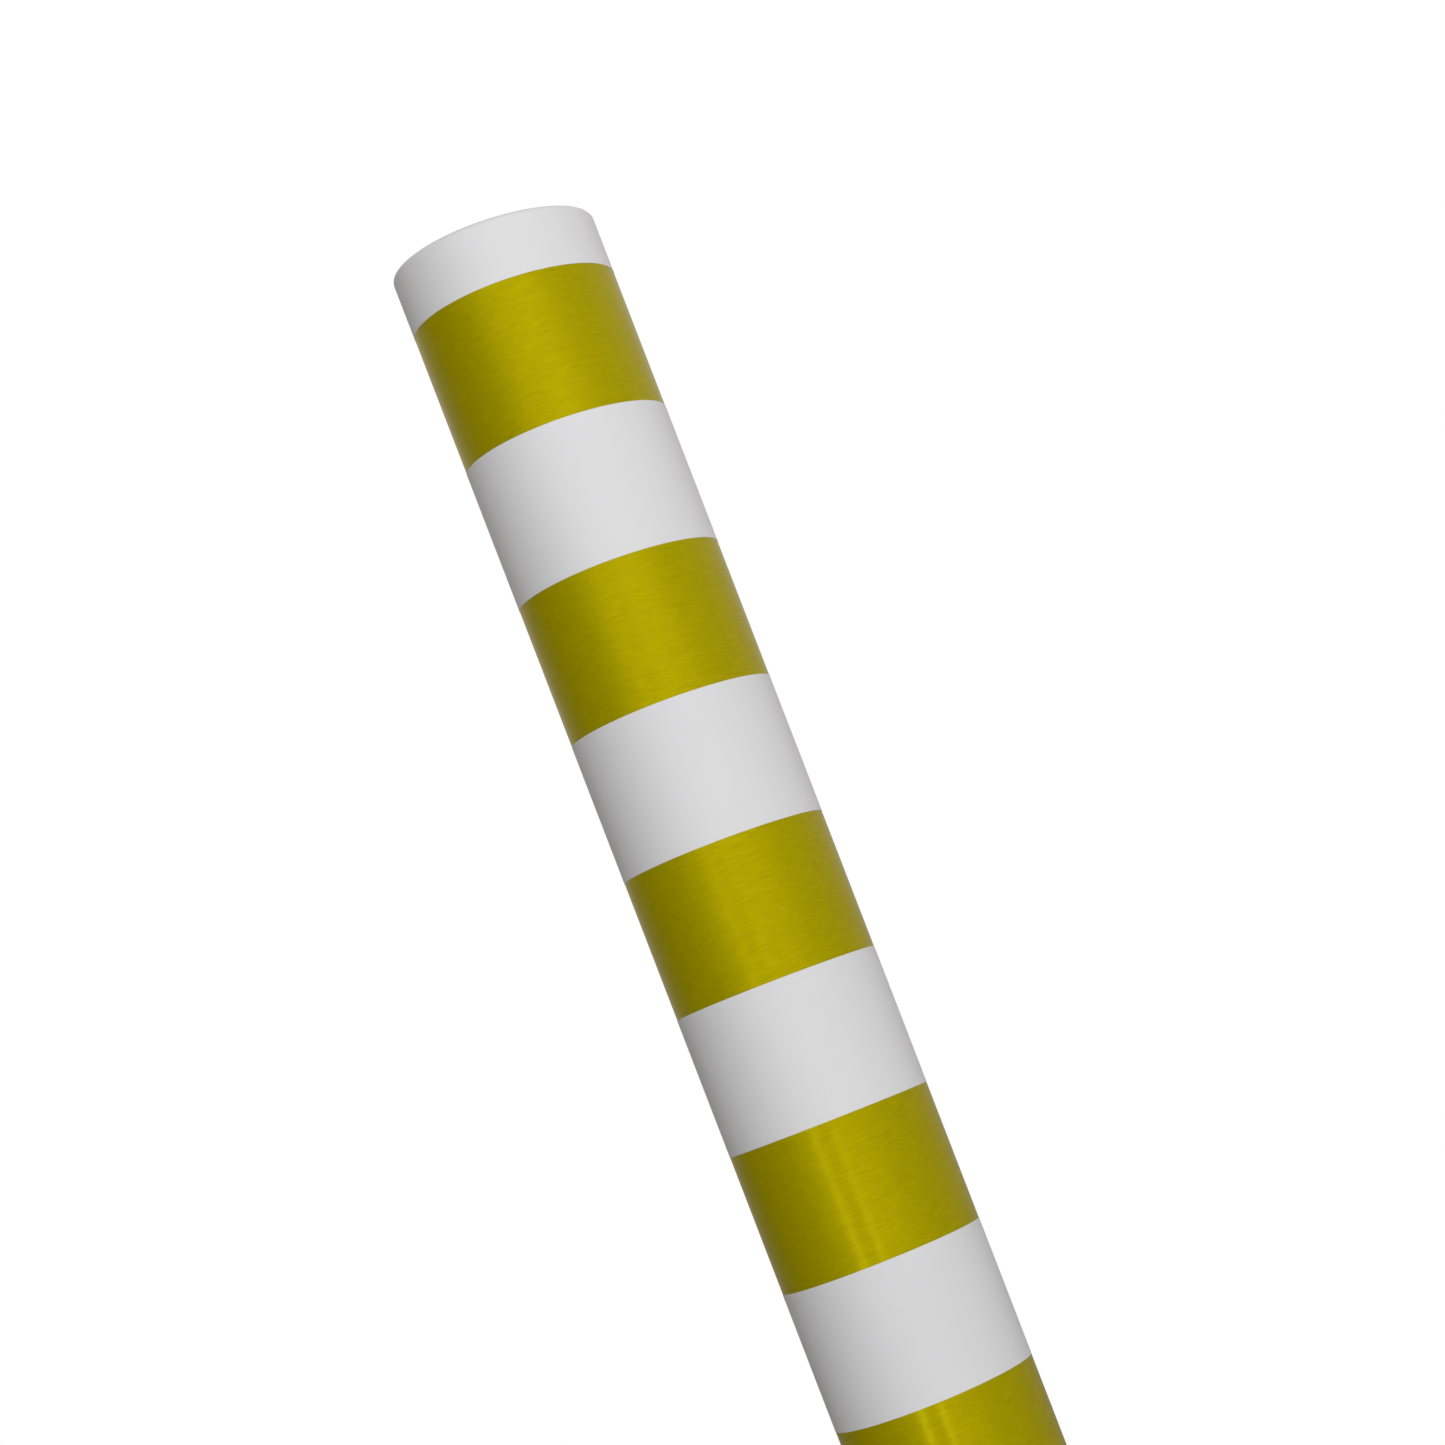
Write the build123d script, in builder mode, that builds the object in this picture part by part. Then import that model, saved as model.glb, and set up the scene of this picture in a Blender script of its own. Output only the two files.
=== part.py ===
from build123d import *
import os

# Golf flagstick: a striped aluminium pole with a flag screw in its top and a screw-on ferrule at its foot.
# Millimetres. +Z runs up the pole's axis, and the origin is the ferrule's lowest point on that axis.

# Overall
stick_length = 2134.0  # 7 ft, from the ferrule's nose to the pole's top end
stick_diameter = 19.05  # 3/4 in, over the white coat

# Stripes
band_length = 13.27
top_band_length = 5.7  # the white band that wraps the pole's top end
band_count = 150  # whole bands below the top one, yellow and white by turns
coat_thickness = 0.02  # the white coat stands this far proud of the yellow tube
rim_radius = 0.5  # rounding of the pole's top end, over the coat

# Tube
wall_thickness = 1.63
mouth_chamfer = 0.3  # on the edges of every bore

# Flag screw, washer and the threaded insert that holds them
insert_length = 26.0
insert_depth = 1.6  # the insert's top lies this far below the pole's end
insert_groove_width = 3.0
insert_groove_depth = 0.5
insert_bore_depth = 18.0
insert_lead_in = 1.0  # chamfer round its lower edge
washer_radius = 7.4
washer_thickness = 1.2
washer_rounding = 0.3  # on both washers
screw_radius = 3.0  # M6
screw_length = 16.0
screw_chamfer = 0.6
head_radius = 5.0
head_edge_height = 0.5
head_height = 2.4
hex_key_width = 4.0
hex_key_depth = 1.3

# Ferrule
nose_height = 14.0
nose_tip_radius = 5.6
nose_edge_radius = 1.5
spigot_radius = 9.4
spigot_height = 36.0
land_height = 2.0  # full-size land between the wear sleeve and the collar
collar_radius = 12.7
collar_height = 10.0
collar_chamfer = 1.2
spanner_width = 22.0
neck_height = 12.0
neck_edge_chamfer = 0.4
sleeve_thickness = 1.5
sleeve_slit = 1.5

# Joint between the ferrule and the tube
stud_radius = 5.0  # M10
stud_depth = 30.0  # in the ferrule, and again in the socket
stud_chamfer = 0.8
cushion_thickness = 1.5
cushion_bore_radius = 5.6
socket_length = 40.0
rivet_radius = 1.6
rivet_head_radius = 2.8
rivet_head_depth = 1.2
rivet_head_taper = 45  # degrees
rivet_overshoot = 1.0  # rough length past the tube, trimmed off flush
rivet_inner_reach = 5.9  # distance of a rivet's inner end from the axis, clear of the stud
rivet_heights = (13.0, 27.0)  # above the tube's foot, the second pair a quarter turn round
pin_radius = 1.5
pin_wall = 0.4
pin_slot = 0.7
pin_length = 18.0
pin_height = 6.0  # below the neck's top

thread_clearance = 0.05  # radial gap between a male thread and its hole

# Derived sizes
stick_radius = stick_diameter / 2
tube_radius = stick_radius - coat_thickness
tube_bore_radius = tube_radius - wall_thickness
spigot_base = nose_height
collar_base = spigot_base + spigot_height
neck_base = collar_base + collar_height
neck_top = neck_base + neck_height
tube_foot = neck_top + cushion_thickness
tube_top = stick_length - coat_thickness
first_band_edge = stick_length - top_band_length
insert_top = stick_length - insert_depth
washer_top = insert_top + washer_thickness
core_radius = spigot_radius - sleeve_thickness
land_base = collar_base - land_height
pin_centre = neck_top - pin_height


def annulus(outer_radius, inner_radius):
    """Ring sketch on the current plane or planes."""
    Circle(outer_radius)
    Circle(inner_radius, mode=Mode.SUBTRACT)


def circles_at(piece, end):
    """Round edges at one end of a piece, smallest first: end 0 is the lowest level, -1 the highest."""
    return piece.edges().filter_by(GeomType.CIRCLE).group_by(Axis.Z)[end].sort_by(SortBy.RADIUS)


# Rivets: a countersunk head, flush with the tube, on a plain shank that ends short of the stud
rivet_planes = [
    Plane(origin=(0, 0, tube_foot + height), x_dir=(0, 0, 1), z_dir=direction)
    for height, directions in zip(rivet_heights, (((1, 0, 0), (-1, 0, 0)), ((0, 1, 0), (0, -1, 0))))
    for direction in directions
]
rivet_head_base = tube_radius - rivet_head_depth

with BuildPart() as socket_rivets:
    with BuildSketch(*[plane.offset(rivet_inner_reach) for plane in rivet_planes]):
        Circle(rivet_radius)
    extrude(amount=tube_radius - rivet_inner_reach + rivet_overshoot)
    with BuildSketch(*[plane.offset(rivet_head_base) for plane in rivet_planes]):
        Circle(rivet_radius)
    extrude(amount=rivet_head_depth + rivet_overshoot, taper=-rivet_head_taper)
    with BuildSketch(Plane.XY.offset(tube_foot)):
        Circle(tube_radius)
    extrude(amount=socket_length, mode=Mode.INTERSECT)
socket_rivets.part.label = "socket_rivets"

# Tube, rounded at its top end and bored right through
with BuildPart() as shaft_tube:
    with BuildSketch(Plane.XY.offset(tube_foot)):
        annulus(tube_radius, tube_bore_radius)
    extrude(amount=tube_top - tube_foot)
    fillet(circles_at(shaft_tube, -1)[-1], radius=rim_radius - coat_thickness)
    chamfer([circles_at(shaft_tube, -1)[0], circles_at(shaft_tube, 0)[-1]], length=mouth_chamfer)
    add(socket_rivets.part, mode=Mode.SUBTRACT)
shaft_tube.part.label = "shaft_tube"

# White coat: every second band, and the short top one that wraps the rounded end
white_band_floors = [first_band_edge - (k + 1) * band_length for k in range(1, band_count, 2)]

with BuildPart() as white_bands:
    with BuildSketch(*[Plane.XY.offset(floor) for floor in white_band_floors]):
        annulus(stick_radius, tube_radius)
    extrude(amount=band_length)
    with BuildSketch(Plane.XZ):
        with BuildLine():
            rim_base = stick_length - rim_radius
            rim_start = stick_radius - rim_radius
            mouth = tube_bore_radius + mouth_chamfer
            Line((tube_radius, first_band_edge), (stick_radius, first_band_edge))
            Line((stick_radius, first_band_edge), (stick_radius, rim_base))
            RadiusArc((stick_radius, rim_base), (rim_start, stick_length), -rim_radius)
            Line((rim_start, stick_length), (mouth, stick_length))
            Line((mouth, stick_length), (mouth, tube_top))
            Line((mouth, tube_top), (rim_start, tube_top))
            RadiusArc((rim_start, tube_top), (tube_radius, rim_base), rim_radius - coat_thickness)
            Line((tube_radius, rim_base), (tube_radius, first_band_edge))
        make_face()
    revolve(axis=Axis.Z)
white_bands.part.label = "white_bands"

# Threaded insert pressed into the tube's top, with a bonding groove round it
with BuildPart() as top_insert:
    with BuildSketch(Plane.XY.offset(insert_top - insert_length)):
        Circle(tube_bore_radius)
    extrude(amount=insert_length)
    chamfer(circles_at(top_insert, 0), length=insert_lead_in)
    with BuildSketch(Plane.XY.offset(insert_top - (insert_length + insert_groove_width) / 2)):
        annulus(tube_bore_radius, tube_bore_radius - insert_groove_depth)
    extrude(amount=insert_groove_width, mode=Mode.SUBTRACT)
    with Locations((0, 0, insert_top)):
        CounterSinkHole(screw_radius, screw_radius + mouth_chamfer, depth=insert_bore_depth)
top_insert.part.label = "top_insert"

# Nylon washer that sits in the tube's mouth, under the screw's head
with BuildPart() as flag_washer:
    with BuildSketch(Plane.XY.offset(insert_top)):
        annulus(washer_radius, screw_radius + 2 * thread_clearance)
    extrude(amount=washer_thickness)
    washer_rims = [circles_at(flag_washer, 0)[-1], circles_at(flag_washer, -1)[-1]]
    fillet(washer_rims, radius=washer_rounding)
flag_washer.part.label = "flag_washer"

# Flag screw: low domed head with a hexagon socket
with BuildPart() as flag_screw:
    with BuildSketch(Plane.XZ):
        with BuildLine():
            shank_radius = screw_radius - thread_clearance
            shank_end = washer_top - screw_length
            head_edge = washer_top + head_edge_height
            head_top = washer_top + head_height
            Polyline(
                (0, head_top),
                (0, shank_end),
                (shank_radius - screw_chamfer, shank_end),
                (shank_radius, shank_end + screw_chamfer),
                (shank_radius, washer_top),
                (head_radius, washer_top),
                (head_radius, head_edge),
            )
            TangentArc((0, head_top), (head_radius, head_edge), tangent=(1, 0))
        make_face()
    revolve(axis=Axis.Z)
    with BuildSketch(Plane.XY.offset(head_top)):
        RegularPolygon(hex_key_width / 2, 6, major_radius=False)
    extrude(amount=-hex_key_depth, mode=Mode.SUBTRACT)
flag_screw.part.label = "flag_screw"

# Threaded socket in the tube's foot
with BuildPart() as ferrule_socket:
    with BuildSketch(Plane.XY.offset(tube_foot)):
        annulus(tube_bore_radius, stud_radius)
    extrude(amount=socket_length)
    chamfer(circles_at(ferrule_socket, 0)[0], length=mouth_chamfer)
    add(socket_rivets.part, mode=Mode.SUBTRACT)
ferrule_socket.part.label = "ferrule_socket"

# Roll pin across the ferrule's neck
pin_plane = Plane.XZ.offset(-pin_length / 2)
with BuildPart() as stud_pin:
    with BuildSketch(pin_plane):
        with Locations((0, pin_centre)):
            annulus(pin_radius, pin_radius - pin_wall)
        with Locations((0, pin_centre + pin_radius)):
            Rectangle(pin_slot, 2 * pin_radius, mode=Mode.SUBTRACT)
    extrude(amount=pin_length)
stud_pin.part.label = "stud_pin"

# Stud: its lower half is fixed in the ferrule, and its upper half screws into the socket
with BuildPart() as ferrule_stud:
    with BuildSketch(Plane.XY.offset(neck_top - stud_depth)):
        Circle(stud_radius)
    extrude(amount=stud_depth)
    with BuildSketch(Plane.XY.offset(neck_top)):
        Circle(stud_radius - thread_clearance)
    extrude(amount=cushion_thickness + stud_depth)
    chamfer([*circles_at(ferrule_stud, 0), *circles_at(ferrule_stud, -1)], length=stud_chamfer)
    with BuildSketch(Plane.XZ):
        with Locations((0, pin_centre)):
            Circle(pin_radius)
    extrude(amount=stick_radius, both=True, mode=Mode.SUBTRACT)
ferrule_stud.part.label = "ferrule_stud"

# Ferrule: rounded nose, core under the wear sleeve, collar that rests in the cup, neck under the tube
with BuildPart() as ferrule:
    with BuildSketch(Plane.XZ):
        with BuildLine():
            Polyline(
                (0, 0),
                (nose_tip_radius, 0),
                (spigot_radius, spigot_base),
                (core_radius, spigot_base),
                (core_radius, land_base),
                (spigot_radius, land_base),
                (spigot_radius, collar_base),
                (collar_radius, collar_base),
                (collar_radius, neck_base),
                (tube_radius, neck_base),
                (tube_radius, neck_top),
                (0, neck_top),
                (0, 0),
            )
        make_face()
    revolve(axis=Axis.Z)
    fillet(circles_at(ferrule, 0), radius=nose_edge_radius)
    chamfer(circles_at(ferrule, -1), length=neck_edge_chamfer)
    collar_rims = ferrule.edges().filter_by(GeomType.CIRCLE).sort_by(SortBy.RADIUS)[-2:]
    chamfer(collar_rims, length=collar_chamfer)
    with BuildSketch(Plane.XY.offset(collar_base)):
        Rectangle(3 * collar_radius, 3 * collar_radius)
        Rectangle(spanner_width, 3 * collar_radius, mode=Mode.SUBTRACT)
    extrude(amount=collar_height, mode=Mode.SUBTRACT)
    with Locations((0, 0, neck_top)):
        Hole(stud_radius, depth=stud_depth)
    with BuildSketch(Plane.XZ):
        with Locations((0, pin_centre)):
            Circle(pin_radius)
    extrude(amount=stick_radius, both=True, mode=Mode.SUBTRACT)
ferrule.part.label = "ferrule"

# Split nylon sleeve sprung over the ferrule's core
with BuildPart() as wear_sleeve:
    with BuildSketch(Plane.XY.offset(spigot_base)):
        annulus(spigot_radius, core_radius)
        with Locations((spigot_radius, 0)):
            Rectangle(4 * sleeve_thickness, sleeve_slit, mode=Mode.SUBTRACT)
    extrude(amount=spigot_height - land_height)
wear_sleeve.part.label = "wear_sleeve"

# Rubber washer between the ferrule's neck and the tube's foot
with BuildPart() as cushion_washer:
    with BuildSketch(Plane.XY.offset(neck_top)):
        annulus(spigot_radius, cushion_bore_radius)
    extrude(amount=cushion_thickness)
    cushion_rims = [circles_at(cushion_washer, 0)[-1], circles_at(cushion_washer, -1)[-1]]
    fillet(cushion_rims, radius=washer_rounding)
cushion_washer.part.label = "cushion_washer"

os.makedirs("parts", exist_ok=True)
pieces = (
    shaft_tube,
    white_bands,
    top_insert,
    flag_washer,
    flag_screw,
    ferrule_socket,
    socket_rivets,
    cushion_washer,
    ferrule,
    ferrule_stud,
    stud_pin,
    wear_sleeve,
)
for piece in pieces:
    export_step(piece.part, f"parts/{piece.part.label}.step")
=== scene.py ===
"""Looks for the golf flagstick: a striped aluminium pole, its flag screw and its screw-on ferrule."""

import math

import bmesh
import bpy
from mathutils import Euler, Matrix, Vector


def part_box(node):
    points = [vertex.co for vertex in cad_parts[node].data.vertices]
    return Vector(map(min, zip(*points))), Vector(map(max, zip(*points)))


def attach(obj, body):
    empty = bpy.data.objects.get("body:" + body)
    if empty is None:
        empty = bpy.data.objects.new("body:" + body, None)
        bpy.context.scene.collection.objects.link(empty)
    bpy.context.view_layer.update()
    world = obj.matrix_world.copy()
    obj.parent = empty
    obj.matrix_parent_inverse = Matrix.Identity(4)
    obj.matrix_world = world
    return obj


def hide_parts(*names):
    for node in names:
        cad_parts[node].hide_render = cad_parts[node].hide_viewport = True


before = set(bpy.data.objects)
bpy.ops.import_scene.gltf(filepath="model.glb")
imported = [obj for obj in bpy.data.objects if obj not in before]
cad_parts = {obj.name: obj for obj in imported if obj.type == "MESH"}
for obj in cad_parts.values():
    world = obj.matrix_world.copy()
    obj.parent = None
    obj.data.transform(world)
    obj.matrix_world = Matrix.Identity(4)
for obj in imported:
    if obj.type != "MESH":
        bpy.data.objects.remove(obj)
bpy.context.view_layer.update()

MM = 0.001
TURN = 2 * math.pi
SMOOTH_ANGLE = math.radians(30)
ROUND_STEPS = 6  # steps along a rounded edge
SMALL_ROUND_STEPS = 3
TUBE_SEGMENTS = 144
SMALL_SEGMENTS = 96
SAME_LEVEL = 1e-6  # metres between heights that count as one level
SAME_POINT = 1e-7  # metres between points that are merged
NO_LENGTH = 1e-8  # metres: a shorter edge is taken out


# ---------------------------------------------------------------- sizes read from the frame


def vertices(node):
    """The points of a CAD node, in metres."""
    return [v.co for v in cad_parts[node].data.vertices]


def levels(node):
    """The heights at which a CAD node has vertices, to the nearest micrometre and lowest first."""
    return sorted({round(v.z, 6) for v in vertices(node)})


def radii(node):
    """Smallest and largest distance of a CAD node's vertices from the axis."""
    found = [math.hypot(v.x, v.y) for v in vertices(node)]
    return min(found), max(found)


def span(node):
    """Lowest and highest level of a CAD node."""
    low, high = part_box(node)
    return low.z, high.z


tube_foot, tube_top = span("shaft_tube")
bore_radius, tube_radius = radii("shaft_tube")
coat_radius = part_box("white_bands")[1].x
pole_top = span("white_bands")[1]
rim_radius = 0.5 * MM  # the coat's rounded outer edge at the pole's top
mouth_chamfer = 0.3 * MM


# ---------------------------------------------------------------- mesh building


def piece(name, shape, body, material, stands_for):
    """A new object from a shape's (points, faces), cleaned and shaded smooth with sharp edges.

    It rides on a body and stands for a CAD node."""
    points, faces = shape
    mesh = bpy.data.meshes.new(name)
    mesh.from_pydata(points, [], faces)
    work = bmesh.new()
    work.from_mesh(mesh)
    bmesh.ops.remove_doubles(work, verts=work.verts, dist=SAME_POINT)
    bmesh.ops.dissolve_degenerate(work, edges=work.edges, dist=NO_LENGTH)
    loose = [edge for edge in work.edges if not edge.link_faces]
    bmesh.ops.delete(work, geom=loose, context="EDGES")
    bmesh.ops.recalc_face_normals(work, faces=work.faces)
    work.to_mesh(mesh)
    work.free()
    mesh.shade_smooth()
    mesh.set_sharp_from_angle(angle=SMOOTH_ANGLE)
    made = bpy.data.objects.new(name, mesh)
    bpy.context.scene.collection.objects.link(made)
    mesh.materials.append(material)
    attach(made, body)
    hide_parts(stands_for)


def turned(outline, segments, shape=None):
    """Points and faces of a closed outline of (radius, height) swept round the axis.

    shape(radius, height, angle) may return another (radius, height) for that angle."""
    points, faces = [], []
    count = len(outline)
    for step in range(segments):
        angle = TURN * step / segments
        for radius, height in outline:
            if shape:
                radius, height = shape(radius, height, angle)
            points.append((radius * math.cos(angle), radius * math.sin(angle), height))
    for step in range(segments):
        here = step * count
        there = (step + 1) % segments * count
        for i in range(count):
            j = (i + 1) % count
            faces.append((here + i, there + i, there + j, here + j))
    return points, faces


def arc(centre_radius, centre_height, size, start, end, steps=ROUND_STEPS):
    """Outline points on a rounded edge, with start and end in degrees from the outward direction."""
    angles = [math.radians(start + (end - start) * k / steps) for k in range(steps + 1)]
    return [(centre_radius + size * math.cos(a), centre_height + size * math.sin(a)) for a in angles]


def rounded_ring(inner, outer, low, high, rounding):
    """Outline of a ring with rounded outer edges and small rounded bore edges."""
    soft = rounding / 2
    return [
        *arc(inner + soft, low + soft, soft, 180, 270, SMALL_ROUND_STEPS),
        *arc(outer - rounding, low + rounding, rounding, -90, 0),
        *arc(outer - rounding, high - rounding, rounding, 0, 90),
        *arc(inner + soft, high - soft, soft, 90, 180, SMALL_ROUND_STEPS),
    ]


# One turn of a metric thread, as (share of the pitch, share of the thread's depth)
THREAD_PROFILE = ((0.0, 0.0), (0.125, 0.0), (0.4375, 1.0), (0.6875, 1.0))


def threaded(low, high, crest, depth, pitch, segments):
    """Points and faces of a right-hand threaded rod. Its rows follow the helix, and both ends are chamfered.

    The helix starts a turn below the rod and ends above it, so that it covers the rod all round. What lies
    past an end is drawn together into that end's rim."""
    turn_rows = len(THREAD_PROFILE)
    rows = (math.ceil((high - low) / pitch) + 2) * turn_rows
    end_radius = crest - depth
    columns = []
    for step in range(segments):
        angle = TURN * step / segments
        column = []
        for row in range(rows + 1):
            turn, place = divmod(row, turn_rows)
            share, cut = THREAD_PROFILE[place]
            height = low + pitch * (turn - 1 + share + step / segments)
            inside = max(min(height - low, high - height), 0.0)
            radius = min(crest - depth * cut, end_radius + inside)
            height = min(max(height, low), high)
            column.append((radius * math.cos(angle), radius * math.sin(angle), height))
        columns.append(column)
    points = [point for column in columns for point in column]
    faces = []
    for step in range(segments):
        here = step * (rows + 1)
        there = (step + 1) % segments * (rows + 1)
        # From the last column to the first, the helix has climbed one turn.
        climb = turn_rows if step == segments - 1 else 0
        for row in range(rows):
            beside = min(row + climb, rows)
            beside_next = min(row + 1 + climb, rows)
            faces.append((here + row, there + beside, there + beside_next, here + row + 1))
    faces.append(tuple(step * (rows + 1) for step in range(segments)))
    faces.append(tuple(step * (rows + 1) + rows for step in range(segments)))
    return points, faces


def joined(*parts):
    """Several (points, faces) pairs as one."""
    points, faces = [], []
    for more_points, more_faces in parts:
        offset = len(points)
        points += more_points
        faces += [tuple(offset + i for i in face) for face in more_faces]
    return points, faces


# ---------------------------------------------------------------- materials

# Sockets of a Mix node that mixes colours
MIX_SHARE = 0
MIX_COLOURS = (6, 7)
MIX_RESULT = 2


def node(tree, kind, inputs=None, **settings):
    """Adds a shader node. An input is a value or another node's output socket."""
    made = tree.nodes.new(kind)
    for key, value in settings.items():
        setattr(made, key, value)
    for key, value in (inputs or {}).items():
        if isinstance(value, bpy.types.NodeSocket):
            tree.links.new(value, made.inputs[key])
        else:
            made.inputs[key].default_value = value
    return made


def noise(tree, scale, detail=3.0, roughness=0.6, seed=0.0):
    """A 0 to 1 noise in the row frame. scale is features per metre along x, y and z."""
    place = node(tree, "ShaderNodeTexCoord").outputs["Object"]
    offset = (seed, seed, seed)
    stretch = node(tree, "ShaderNodeMapping", {"Vector": place, "Scale": scale, "Location": offset})
    made = node(
        tree,
        "ShaderNodeTexNoise",
        {"Vector": stretch.outputs["Vector"], "Scale": 1.0, "Detail": detail, "Roughness": roughness},
    )
    return made.outputs["Fac"]


def ramp(tree, value, low, high, start=0.0, end=1.0, smooth=False):
    """Maps value from low..high to start..end, clamped."""
    made = node(
        tree,
        "ShaderNodeMapRange",
        {"Value": value, "From Min": low, "From Max": high, "To Min": start, "To Max": end},
        interpolation_type="SMOOTHSTEP" if smooth else "LINEAR",
    )
    return made.outputs["Result"]


def blended(tree, share, first, second):
    """Colour between first and second, each a colour or another node's output socket."""
    made = node(tree, "ShaderNodeMix", {MIX_SHARE: share}, data_type="RGBA")
    for socket, colour in zip(MIX_COLOURS, (first, second)):
        if isinstance(colour, bpy.types.NodeSocket):
            tree.links.new(colour, made.inputs[socket])
        else:
            made.inputs[socket].default_value = (*colour, 1.0)
    return made.outputs[MIX_RESULT]


def finish_material(name, build):
    """A Principled material. build(tree) returns its inputs, with "Bump" as (height socket, distance)."""
    material = bpy.data.materials.new(name)
    material.use_nodes = True
    tree = material.node_tree
    shader = tree.nodes["Principled BSDF"]
    settings = build(tree)
    bump = settings.pop("Bump", None)
    if bump:
        made = node(tree, "ShaderNodeBump", {"Height": bump[0], "Distance": bump[1], "Strength": 1.0})
        tree.links.new(made.outputs["Normal"], shader.inputs["Normal"])
    for key, value in settings.items():
        if isinstance(value, bpy.types.NodeSocket):
            tree.links.new(value, shader.inputs[key])
        elif isinstance(value, tuple):
            shader.inputs[key].default_value = (*value, 1.0)
        else:
            shader.inputs[key].default_value = value
    return material


def tangent_round_pole(tree):
    """The direction round the pole, for highlights that are brushed that way."""
    return node(tree, "ShaderNodeTangent", direction_type="RADIAL", axis="Z").outputs["Tangent"]


def brushed_yellow(tree):
    """Yellow anodised tube with fine scratches running round it."""
    scratches = noise(tree, (900, 900, 12000), detail=1.0, roughness=0.5)
    bands = noise(tree, (600, 600, 8500), detail=1.0, seed=4.0)
    mottle = noise(tree, (90, 90, 60), seed=9.0)
    scratch_share = 0.6  # the rest of the shade comes from the bands
    weighed_bands = node(tree, "ShaderNodeMath", {0: bands, 1: 1.0 - scratch_share}, operation="MULTIPLY")
    terms = {0: scratches, 1: scratch_share, 2: weighed_bands.outputs[0]}
    shade = node(tree, "ShaderNodeMath", terms, operation="MULTIPLY_ADD").outputs[0]
    tone = ramp(tree, shade, 0.34, 0.66)
    return {
        "Base Color": blended(tree, tone, (0.41, 0.344, 0.0), (0.496, 0.418, 0.0)),
        "Metallic": 0.22,
        "Roughness": ramp(tree, mottle, 0.3, 0.7, 0.2, 0.23),
        "IOR": 1.5,
        "Specular Tint": (1.0, 0.85, 0.0),
        "Coat Weight": 0.03,
        "Coat Roughness": 0.1,
        "Anisotropic": 0.6,
        "Anisotropic Rotation": 0.25,
        "Tangent": tangent_round_pole(tree),
        "Bump": (shade, 0.005 * MM),
    }


def white_paint(tree):
    """Matt white coat with a very fine orange peel."""
    peel = noise(tree, (5000, 5000, 5000), detail=2.0)
    cloud = noise(tree, (70, 70, 45), seed=3.0)
    tone = ramp(tree, cloud, 0.3, 0.7)
    return {
        "Base Color": blended(tree, tone, (0.776, 0.77, 0.782), (0.796, 0.791, 0.802)),
        "Roughness": ramp(tree, peel, 0.3, 0.7, 0.52, 0.6),
        "IOR": 1.45,
        "Bump": (peel, 0.008 * MM),
    }


def turned_metal(name, base, worn, roughness, lines_per_metre):
    """A turned metal: bright and dull rings round the axis, and a little dulling here and there."""

    def build(tree):
        rings = noise(tree, (30, 30, lines_per_metre), detail=3.0)
        stains = noise(tree, (240, 240, 240), detail=4.0, seed=6.0)
        tone = ramp(tree, stains, 0.35, 0.75)
        return {
            "Base Color": blended(tree, tone, base, worn),
            "Metallic": 1.0,
            "Roughness": ramp(tree, rings, 0.3, 0.7, roughness - 0.07, roughness + 0.07),
            "Anisotropic": 0.5,
            "Anisotropic Rotation": 0.25,
            "Tangent": tangent_round_pole(tree),
            "Bump": (rings, 0.004 * MM),
        }

    return finish_material(name, build)


def moulded(name, base, scuffed, roughness, grain_per_metre, grain_depth):
    """A moulded plastic or rubber: fine grain, and paler scuffs here and there."""

    def build(tree):
        grain = noise(tree, (grain_per_metre,) * 3, detail=2.0)
        clouds = noise(tree, (180, 180, 180), detail=5.0, seed=2.0)
        scuffs = ramp(tree, clouds, 0.52, 0.75)
        return {
            "Base Color": blended(tree, scuffs, base, scuffed),
            "Roughness": ramp(tree, grain, 0.3, 0.7, roughness - 0.06, roughness + 0.06),
            "IOR": 1.5,
            "Bump": (grain, grain_depth),
        }

    return finish_material(name, build)


yellow = finish_material("yellow_tube", brushed_yellow)
white = finish_material("white_coat", white_paint)
# The rest have their clean colour, their worn colour, their roughness, and lines or grains per metre.
# A moulded one also has the depth of its grain.
brass = turned_metal("insert_brass", (0.78, 0.57, 0.25), (0.62, 0.43, 0.18), 0.3, 5000)
steel = turned_metal("screw_steel", (0.62, 0.61, 0.59), (0.5, 0.49, 0.47), 0.26, 6000)
aluminium = turned_metal("ferrule_aluminium", (0.78, 0.78, 0.79), (0.66, 0.66, 0.67), 0.34, 4500)
rivet_metal = turned_metal("rivet_aluminium", (0.72, 0.72, 0.73), (0.58, 0.58, 0.59), 0.38, 900)
nylon = moulded("washer_nylon", (0.72, 0.69, 0.61), (0.8, 0.78, 0.72), 0.42, 2600, 0.004 * MM)
black_nylon = moulded("sleeve_nylon", (0.018, 0.018, 0.02), (0.05, 0.05, 0.052), 0.46, 2600, 0.006 * MM)
rubber = moulded("cushion_rubber", (0.022, 0.021, 0.02), (0.06, 0.058, 0.055), 0.72, 3400, 0.01 * MM)


# ---------------------------------------------------------------- pole

tube_rim = rim_radius - (coat_radius - tube_radius)  # round the same centre as the coat's
tube_outline = [
    (bore_radius, tube_foot),
    (tube_radius - mouth_chamfer, tube_foot),
    (tube_radius, tube_foot + mouth_chamfer),
    *arc(tube_radius - tube_rim, tube_top - tube_rim, tube_rim, 0, 90),
    (bore_radius + mouth_chamfer, tube_top),
    (bore_radius, tube_top - mouth_chamfer),
]
tube_shape = turned(tube_outline, TUBE_SEGMENTS)
piece("pole_tube", tube_shape, "pole", yellow, "shaft_tube")

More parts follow.
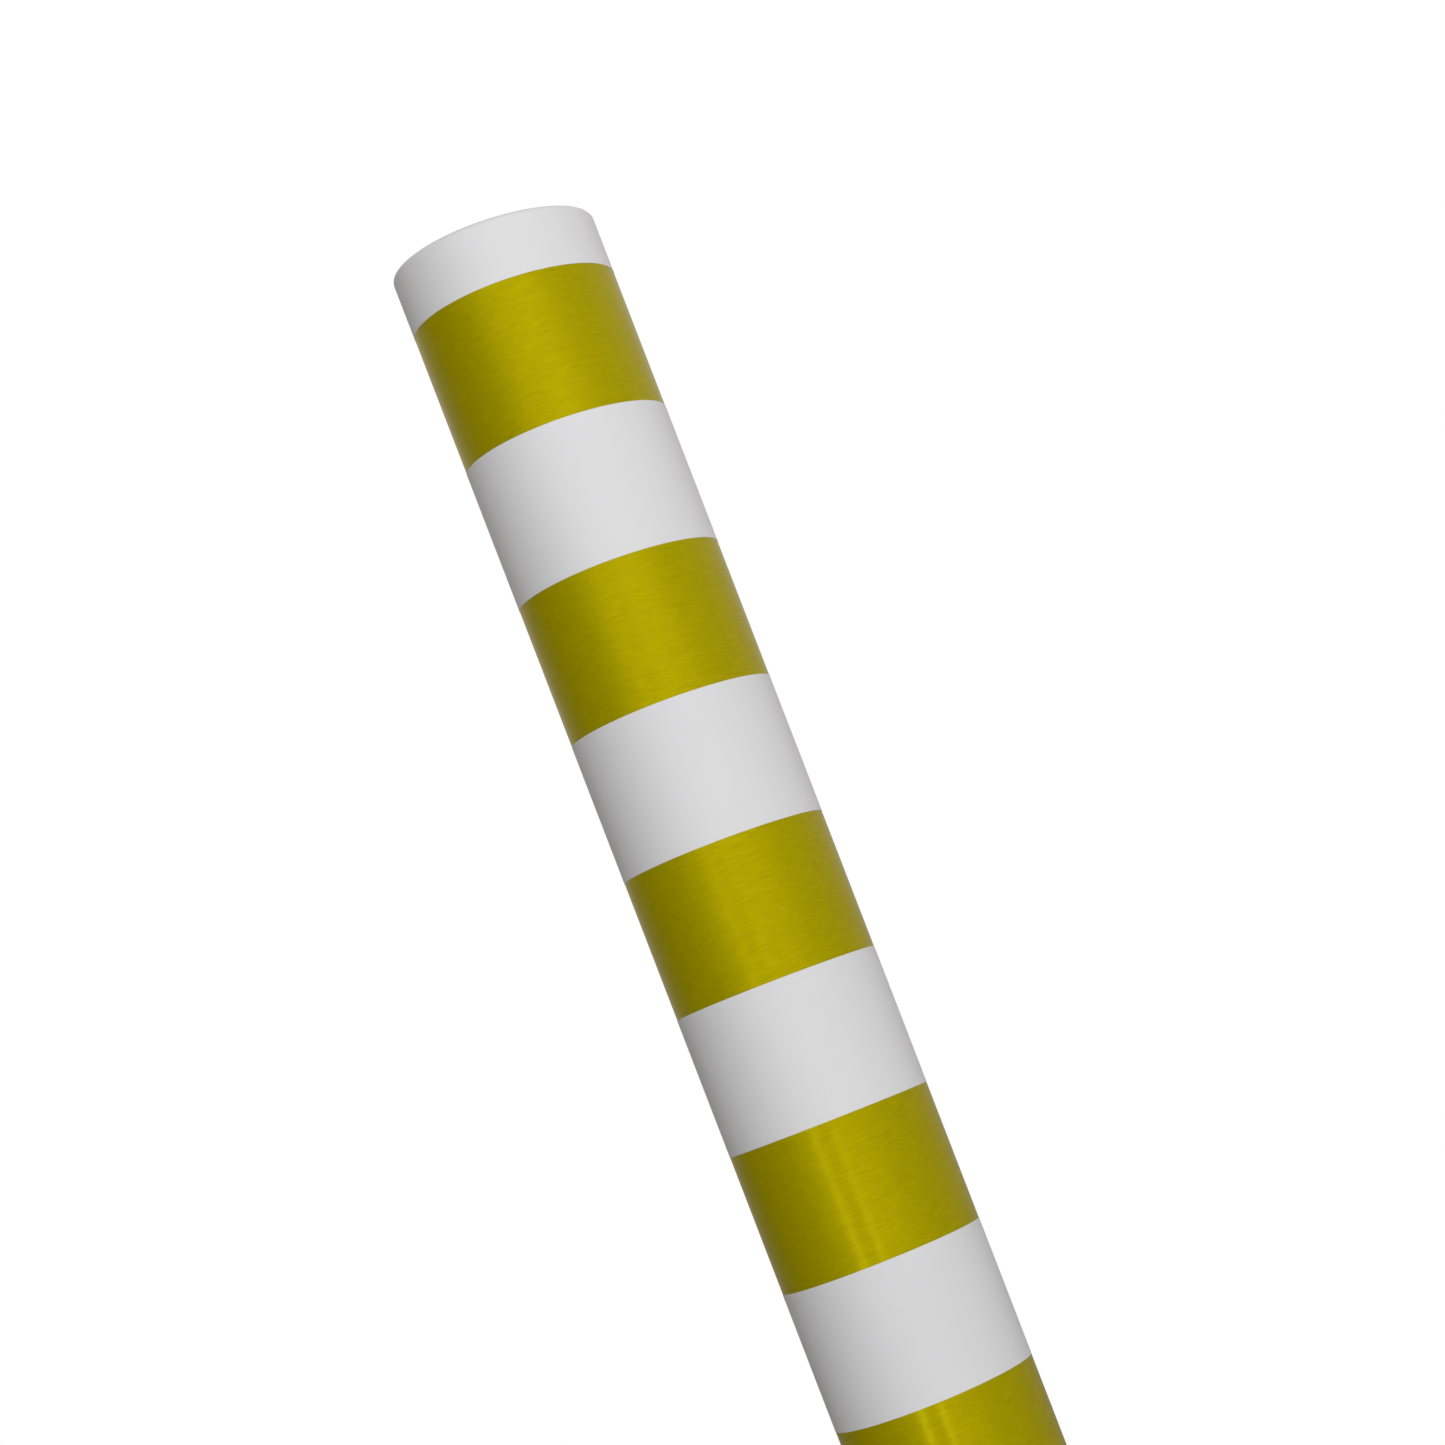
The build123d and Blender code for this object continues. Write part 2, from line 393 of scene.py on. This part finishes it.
# The coat is plain rings and a topmost one that wraps the rim. The rim's own levels lie within two of its
# radii of the top. Below them come the topmost ring's lower edge and the plain rings' edges.
band_levels = levels("white_bands")
top_band_floor = max(z for z in band_levels if pole_top - z > rim_radius * 2)
band_edges = [z for z in band_levels if z < top_band_floor - SAME_LEVEL]
coat_rings = []
for low, high in zip(band_edges[0::2], band_edges[1::2]):
    ring = [(tube_radius, low), (coat_radius, low), (coat_radius, high), (tube_radius, high)]
    coat_rings.append(turned(ring, TUBE_SEGMENTS))
top_ring = [
    (tube_radius, top_band_floor),
    (coat_radius, top_band_floor),
    *arc(coat_radius - rim_radius, pole_top - rim_radius, rim_radius, 0, 90),
    (bore_radius + mouth_chamfer, pole_top),
    (bore_radius + mouth_chamfer, tube_top),
    *arc(tube_radius - tube_rim, tube_top - tube_rim, tube_rim, 90, 0),
]
coat_rings.append(turned(top_ring, TUBE_SEGMENTS))
piece("white_coat", joined(*coat_rings), "pole", white, "white_bands")

# ---------------------------------------------------------------- flag screw and washer

washer_bore, washer_radius = radii("flag_washer")
washer_low, washer_high = span("flag_washer")
washer_rounding = 0.3 * MM
washer_outline = rounded_ring(washer_bore, washer_radius, washer_low, washer_high, washer_rounding)
washer_shape = turned(washer_outline, SMALL_SEGMENTS)
piece("washer", washer_shape, "washer", nylon, "flag_washer")

screw_low = span("flag_screw")[0]
head_radius = radii("flag_screw")[1]
under_head = [v for v in vertices("flag_screw") if abs(v.z - washer_high) < SAME_LEVEL]
shank_radius = min(math.hypot(v.x, v.y) for v in under_head)
shank_top = washer_high + 0.5 * MM  # inside the head
head_soft = 0.12 * MM  # rounding of the head's lower edge
dome_edge = washer_high + 0.5 * MM
dome_top = washer_high + 2.4 * MM
dome_rows = [4.7 * MM, 4.3 * MM, 3.9 * MM, 3.5 * MM, 3.1 * MM, 2.7 * MM, 2.45 * MM]  # radii, rim to socket
hex_half = 2.0 * MM  # half the socket's width across its flats
hex_floor = dome_top - 1.3 * MM
hex_wall_row = hex_floor + 0.2 * MM  # rows above this follow the dome
cone_depth = 0.3 * MM  # of the drilled bottom below the socket
screw_pitch = 1.0 * MM
screw_thread_depth = 0.6 * MM


def dome_height(radius):
    """Height of the low dome at a distance from the axis."""
    rise = dome_top - dome_edge
    sphere = (head_radius**2 + rise**2) / (2 * rise)
    return dome_top - sphere + math.sqrt(sphere**2 - radius**2)


def hexagon(radius, height, angle):
    """Gives the socket's rows, which are the ones with radii up to hex_half, their six sides."""
    if radius > hex_half:
        return radius, height
    sector = TURN / 6
    edge = hex_half / math.cos((angle + sector / 2) % sector - sector / 2)
    radius = edge * radius / hex_half
    if height > hex_wall_row:
        height = dome_height(radius)
    return radius, height


head_outline = [
    (0.0, washer_high),
    (head_radius - head_soft, washer_high),
    *arc(head_radius - head_soft, washer_high + head_soft, head_soft, -90, 0, SMALL_ROUND_STEPS),
    (head_radius, dome_edge),
    *[(radius, dome_height(radius)) for radius in dome_rows],
    (hex_half, dome_top),
    (hex_half, hex_floor),
    (hex_half / 2, hex_floor - cone_depth / 2),
    (0.0, hex_floor - cone_depth),
]
head = turned(head_outline, SMALL_SEGMENTS, hexagon)
shank = threaded(screw_low, shank_top, shank_radius, screw_thread_depth, screw_pitch, SMALL_SEGMENTS)
piece("screw", joined(head, shank), "screw", steel, "flag_screw")

# ---------------------------------------------------------------- foot

cushion_bore, cushion_radius = radii("cushion_washer")
cushion_rounding = 0.35 * MM
cushion_outline = rounded_ring(cushion_bore, cushion_radius, *span("cushion_washer"), cushion_rounding)
cushion_shape = turned(cushion_outline, TUBE_SEGMENTS)
piece("cushion", cushion_shape, "cushion", rubber, "cushion_washer")

stud_low, stud_high = span("ferrule_stud")
stud_crest = radii("ferrule_stud")[1] - 0.05 * MM
stud_pitch = 1.5 * MM
stud_thread_depth = 0.92 * MM
stud_shape = threaded(stud_low, stud_high, stud_crest, stud_thread_depth, stud_pitch, SMALL_SEGMENTS)
piece("stud", stud_shape, "foot", steel, "ferrule_stud")

# ---------------------------------------------------------------- pieces that keep their CAD shape

for name, material in (
    ("top_insert", brass),
    ("ferrule_socket", brass),
    ("socket_rivets", rivet_metal),
    ("ferrule", aluminium),
    ("stud_pin", steel),
    ("wear_sleeve", black_nylon),
):
    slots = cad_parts[name].data.materials
    slots.clear()
    slots.append(material)

# ---------------------------------------------------------------- studio

WHITE = (1.0, 1.0, 1.0)

# How bright the studio is round the pole, as (azimuth, brightness, warmth). An azimuth is in degrees from the
# camera's side, positive to the camera's right.
surround = (
    (-180, 0.4, 0.25),
    (-150, 0.55, 0.12),
    (-115, 0.03, 0.2),
    (-75, 0.0, 0.0),
    (-50, 0.08, 0.0),
    (-22, 1.02, 0.0),
    (4, 1.36, 0.0),
    (30, 1.08, 0.0),
    (52, 0.46, 0.0),
    (75, 0.36, 0.0),
    (105, 0.28, 0.0),
    (145, 0.55, 0.0),
    (180, 0.4, 0.0),
)
# With height, given as the sine of the elevation, it rises from dim_share to full over the range brightening,
# and falls back over dimming.
dim_share = 0.25
brightening = (-0.35, 0.3)
dimming = (0.35, 0.75)

# Low reflectors, whose shine shows only in the lower of the bands in view: (azimuth, width, brightness)
strips = ((-21, 8, 1.6), (1.5, 7, 1.5), (14, 15, 0.3))
strip_top = 4  # degrees above the horizon
strip_top_softness = 3  # degrees
strip_full = 0.35  # how far from its centre a strip is at full brightness, as a share of its width
strip_dark = 0.65  # how far from its centre it has faded out


def sine(degrees):
    """The sine of an angle in degrees."""
    return math.sin(math.radians(degrees))


def build_world():
    """The studio, seen only as light and in reflections: the camera itself sees plain white."""
    world = bpy.data.worlds.new("studio")
    bpy.context.scene.world = world
    world.use_nodes = True
    tree = world.node_tree
    tree.nodes.clear()
    direction = node(tree, "ShaderNodeTexCoord").outputs["Generated"]
    parts = node(tree, "ShaderNodeSeparateXYZ", {"Vector": direction}).outputs

    def maths(operation, *values):
        return node(tree, "ShaderNodeMath", dict(enumerate(values)), operation=operation).outputs[0]

    def scaled(colour, amount):
        made = node(tree, "ShaderNodeVectorMath", {0: colour, "Scale": amount}, operation="SCALE")
        return made.outputs["Vector"]

    azimuth = maths("ARCTAN2", parts["X"], maths("MULTIPLY", parts["Y"], -1.0))
    turn_share = maths("ADD", maths("DIVIDE", azimuth, TURN), 0.5)
    wheel = node(tree, "ShaderNodeValToRGB", {"Fac": turn_share})
    wheel.color_ramp.interpolation = "B_SPLINE"
    stops = wheel.color_ramp.elements
    while len(stops) < len(surround):
        stops.new(0.5)
    for stop, (angle, _, _) in zip(stops, surround):
        stop.position = angle / 360 + 0.5
    for stop, (_, brightness, warmth) in zip(stops, surround):
        stop.color = (brightness, brightness * (1 - warmth / 3), brightness * (1 - warmth), 1.0)

    rise = ramp(tree, parts["Z"], *brightening, smooth=True)
    fall = ramp(tree, parts["Z"], *dimming, 1.0, 0.0, smooth=True)
    gain = maths("MULTIPLY_ADD", maths("MULTIPLY", rise, fall), 1.0 - dim_share, dim_share)
    glow = scaled(wheel.outputs["Color"], gain)

    highest = sine(strip_top + strip_top_softness)
    fading_from = sine(strip_top - strip_top_softness)
    low = ramp(tree, parts["Z"], highest, fading_from)
    for angle, width, brightness in strips:
        away = maths("ABSOLUTE", maths("SUBTRACT", azimuth, math.radians(angle)))
        inside = ramp(tree, away, math.radians(width * strip_dark), math.radians(width * strip_full))
        amount = maths("MULTIPLY", maths("MULTIPLY", inside, low), brightness)
        strip = scaled(WHITE, amount)
        glow = node(tree, "ShaderNodeVectorMath", {0: glow, 1: strip}, operation="ADD").outputs["Vector"]

    seen = node(tree, "ShaderNodeLightPath").outputs["Is Camera Ray"]
    colour = blended(tree, seen, glow, WHITE)
    shader = node(tree, "ShaderNodeBackground", {"Color": colour, "Strength": 1.0})
    node(tree, "ShaderNodeOutputWorld", {"Surface": shader.outputs[0]})


def light(name, kind, energy, **settings):
    """A new light that the camera doesn't see."""
    data = bpy.data.lights.new(name, kind)
    data.energy = energy
    for key, value in settings.items():
        setattr(data, key, value)
    made = bpy.data.objects.new(name, data)
    bpy.context.scene.collection.objects.link(made)
    made.visible_camera = False
    return made


def aim(thing, place, target):
    """Puts thing at place, facing target."""
    thing.location = place
    thing.rotation_euler = (Vector(target) - Vector(place)).to_track_quat("-Z", "Y").to_euler()


def round_the_pole(azimuth, distance, height):
    """A place given by its azimuth in degrees from the camera's side, distance from the axis and height."""
    angle = math.radians(azimuth)
    return Vector((distance * math.sin(angle), -distance * math.cos(angle), height))


def near_light(name, energy, size, azimuth, distance, rise, color=WHITE):
    """A round light that faces the pole's top from nearby, and is left out of its reflections.

    rise is how far it stands above the pole's top."""
    made = light(name, "AREA", energy, shape="DISK", size=size, color=color)
    aim(made, round_the_pole(azimuth, distance, pole_top + rise), (0, 0, pole_top - 50 * MM))
    made.visible_glossy = False


build_world()
warm = (1.0, 0.91, 0.81)
slightly_warm = (1.0, 0.94, 0.87)
near_light("key", energy=1.05, size=0.25, azimuth=11, distance=0.45, rise=0.17)
near_light("side", energy=0.23, size=0.2, azimuth=-125, distance=0.3, rise=0.15, color=warm)
near_light("right_fill", energy=0.26, size=0.2, azimuth=112, distance=0.3, rise=0.1, color=slightly_warm)
overhead = light("overhead", "SUN", energy=2.6, angle=math.radians(40))
aim(overhead, (0, 0, 4), (0, 0, 0))
back_fill = light("back_fill", "SUN", energy=1.1, angle=math.radians(50))
aim(back_fill, round_the_pole(azimuth=180, distance=3.0, height=1.6), (0, 0, 1))
back_fill.visible_glossy = False

floor_radius = 2.4
fade_start = 0.35  # share of the floor's radius where it begins to fade out


def pale_floor(tree):
    """A matt floor that fades out towards its edge."""
    output = tree.nodes["Material Output"]
    shader = tree.nodes["Principled BSDF"]
    grain = noise(tree, (45, 45, 45), detail=4.0)
    tone = ramp(tree, grain, 0.3, 0.7)
    colour = blended(tree, tone, (0.84, 0.84, 0.845), (0.86, 0.86, 0.865))
    tree.links.new(colour, shader.inputs["Base Color"])
    shader.inputs["Roughness"].default_value = 0.8
    place = node(tree, "ShaderNodeTexCoord").outputs["Object"]
    distance = node(tree, "ShaderNodeVectorMath", {0: place}, operation="LENGTH").outputs["Value"]
    fade = ramp(tree, distance, floor_radius * fade_start, floor_radius)
    clear = node(tree, "ShaderNodeBsdfTransparent")
    mixed = node(tree, "ShaderNodeMixShader", {0: fade, 1: shader.outputs[0], 2: clear.outputs[0]})
    tree.links.new(mixed.outputs[0], output.inputs["Surface"])


def build_floor():
    """The studio's floor: a disc on the ground, round the pole."""
    mesh = bpy.data.meshes.new("floor")
    disc = bmesh.new()
    bmesh.ops.create_circle(disc, cap_ends=True, segments=128, radius=floor_radius)
    disc.to_mesh(mesh)
    disc.free()
    made = bpy.data.objects.new("floor", mesh)
    bpy.context.scene.collection.objects.link(made)
    material = bpy.data.materials.new("floor")
    material.use_nodes = True
    pale_floor(material.node_tree)
    mesh.materials.append(material)
    return made


# The overhead sun lights the floor alone, since it would bleach the pole's rim.
lit_from_above = bpy.data.collections.new("lit_from_above")
lit_from_above.objects.link(build_floor())
overhead.light_linking.receiver_collection = lit_from_above

# ---------------------------------------------------------------- camera

# The camera looks slightly up at the pole's top, rolled so that the pole leans to the left.
camera_pitch = math.radians(0.745)
camera_roll = math.radians(-21.2)
focal_length = 73.99
sensor_width = 36.0
window_shift = (-0.3089, 0.1204)
# The centre of the top band's lower edge, in the camera's own axes and in pole radii: right, up and ahead.
edge_right, edge_up, edge_ahead = -6.278, 5.661, 28.5255
at_viewpoint = 0.01  # metres from its own place within which the camera counts as standing there


def build_camera():
    """The camera, swung round the pole's axis until it stands on the -Y side."""
    data = bpy.data.cameras.new("camera")
    data.lens = focal_length
    data.sensor_width = sensor_width
    data.clip_start = 0.01
    data.clip_end = 50
    camera = bpy.data.objects.new("camera", data)
    bpy.context.scene.collection.objects.link(camera)
    turn = Euler((math.pi / 2 + camera_pitch, 0, 0)).to_matrix() @ Matrix.Rotation(camera_roll, 3, "Z")
    edge_centre = Vector((0, 0, top_band_floor))
    place = edge_centre - turn @ (Vector((edge_right, edge_up, -edge_ahead)) * coat_radius)
    swing = Matrix.Rotation(-math.atan2(place.x, -place.y), 3, "Z")
    camera.location = swing @ place
    camera.rotation_mode = "QUATERNION"
    camera.rotation_quaternion = (swing @ turn).to_quaternion()
    bpy.context.scene.camera = camera
    return camera


def shift_only_here(camera):
    """Uses the shifted window only while the camera stands at this viewpoint, so other views stay centred."""
    marker = bpy.data.objects.new("viewpoint", None)
    marker.location = camera.location
    bpy.context.scene.collection.objects.link(marker)
    for channel, shift in zip(("shift_x", "shift_y"), window_shift):
        driver = camera.data.driver_add(channel).driver
        driver.type = "SCRIPTED"
        distance = driver.variables.new()
        distance.name = "away"
        distance.type = "LOC_DIFF"
        distance.targets[0].id = camera
        distance.targets[1].id = marker
        driver.expression = f"{shift} if away < {at_viewpoint} else 0.0"


shift_only_here(build_camera())

view = bpy.context.scene.view_settings
view.view_transform = "Standard"
view.look = "None"
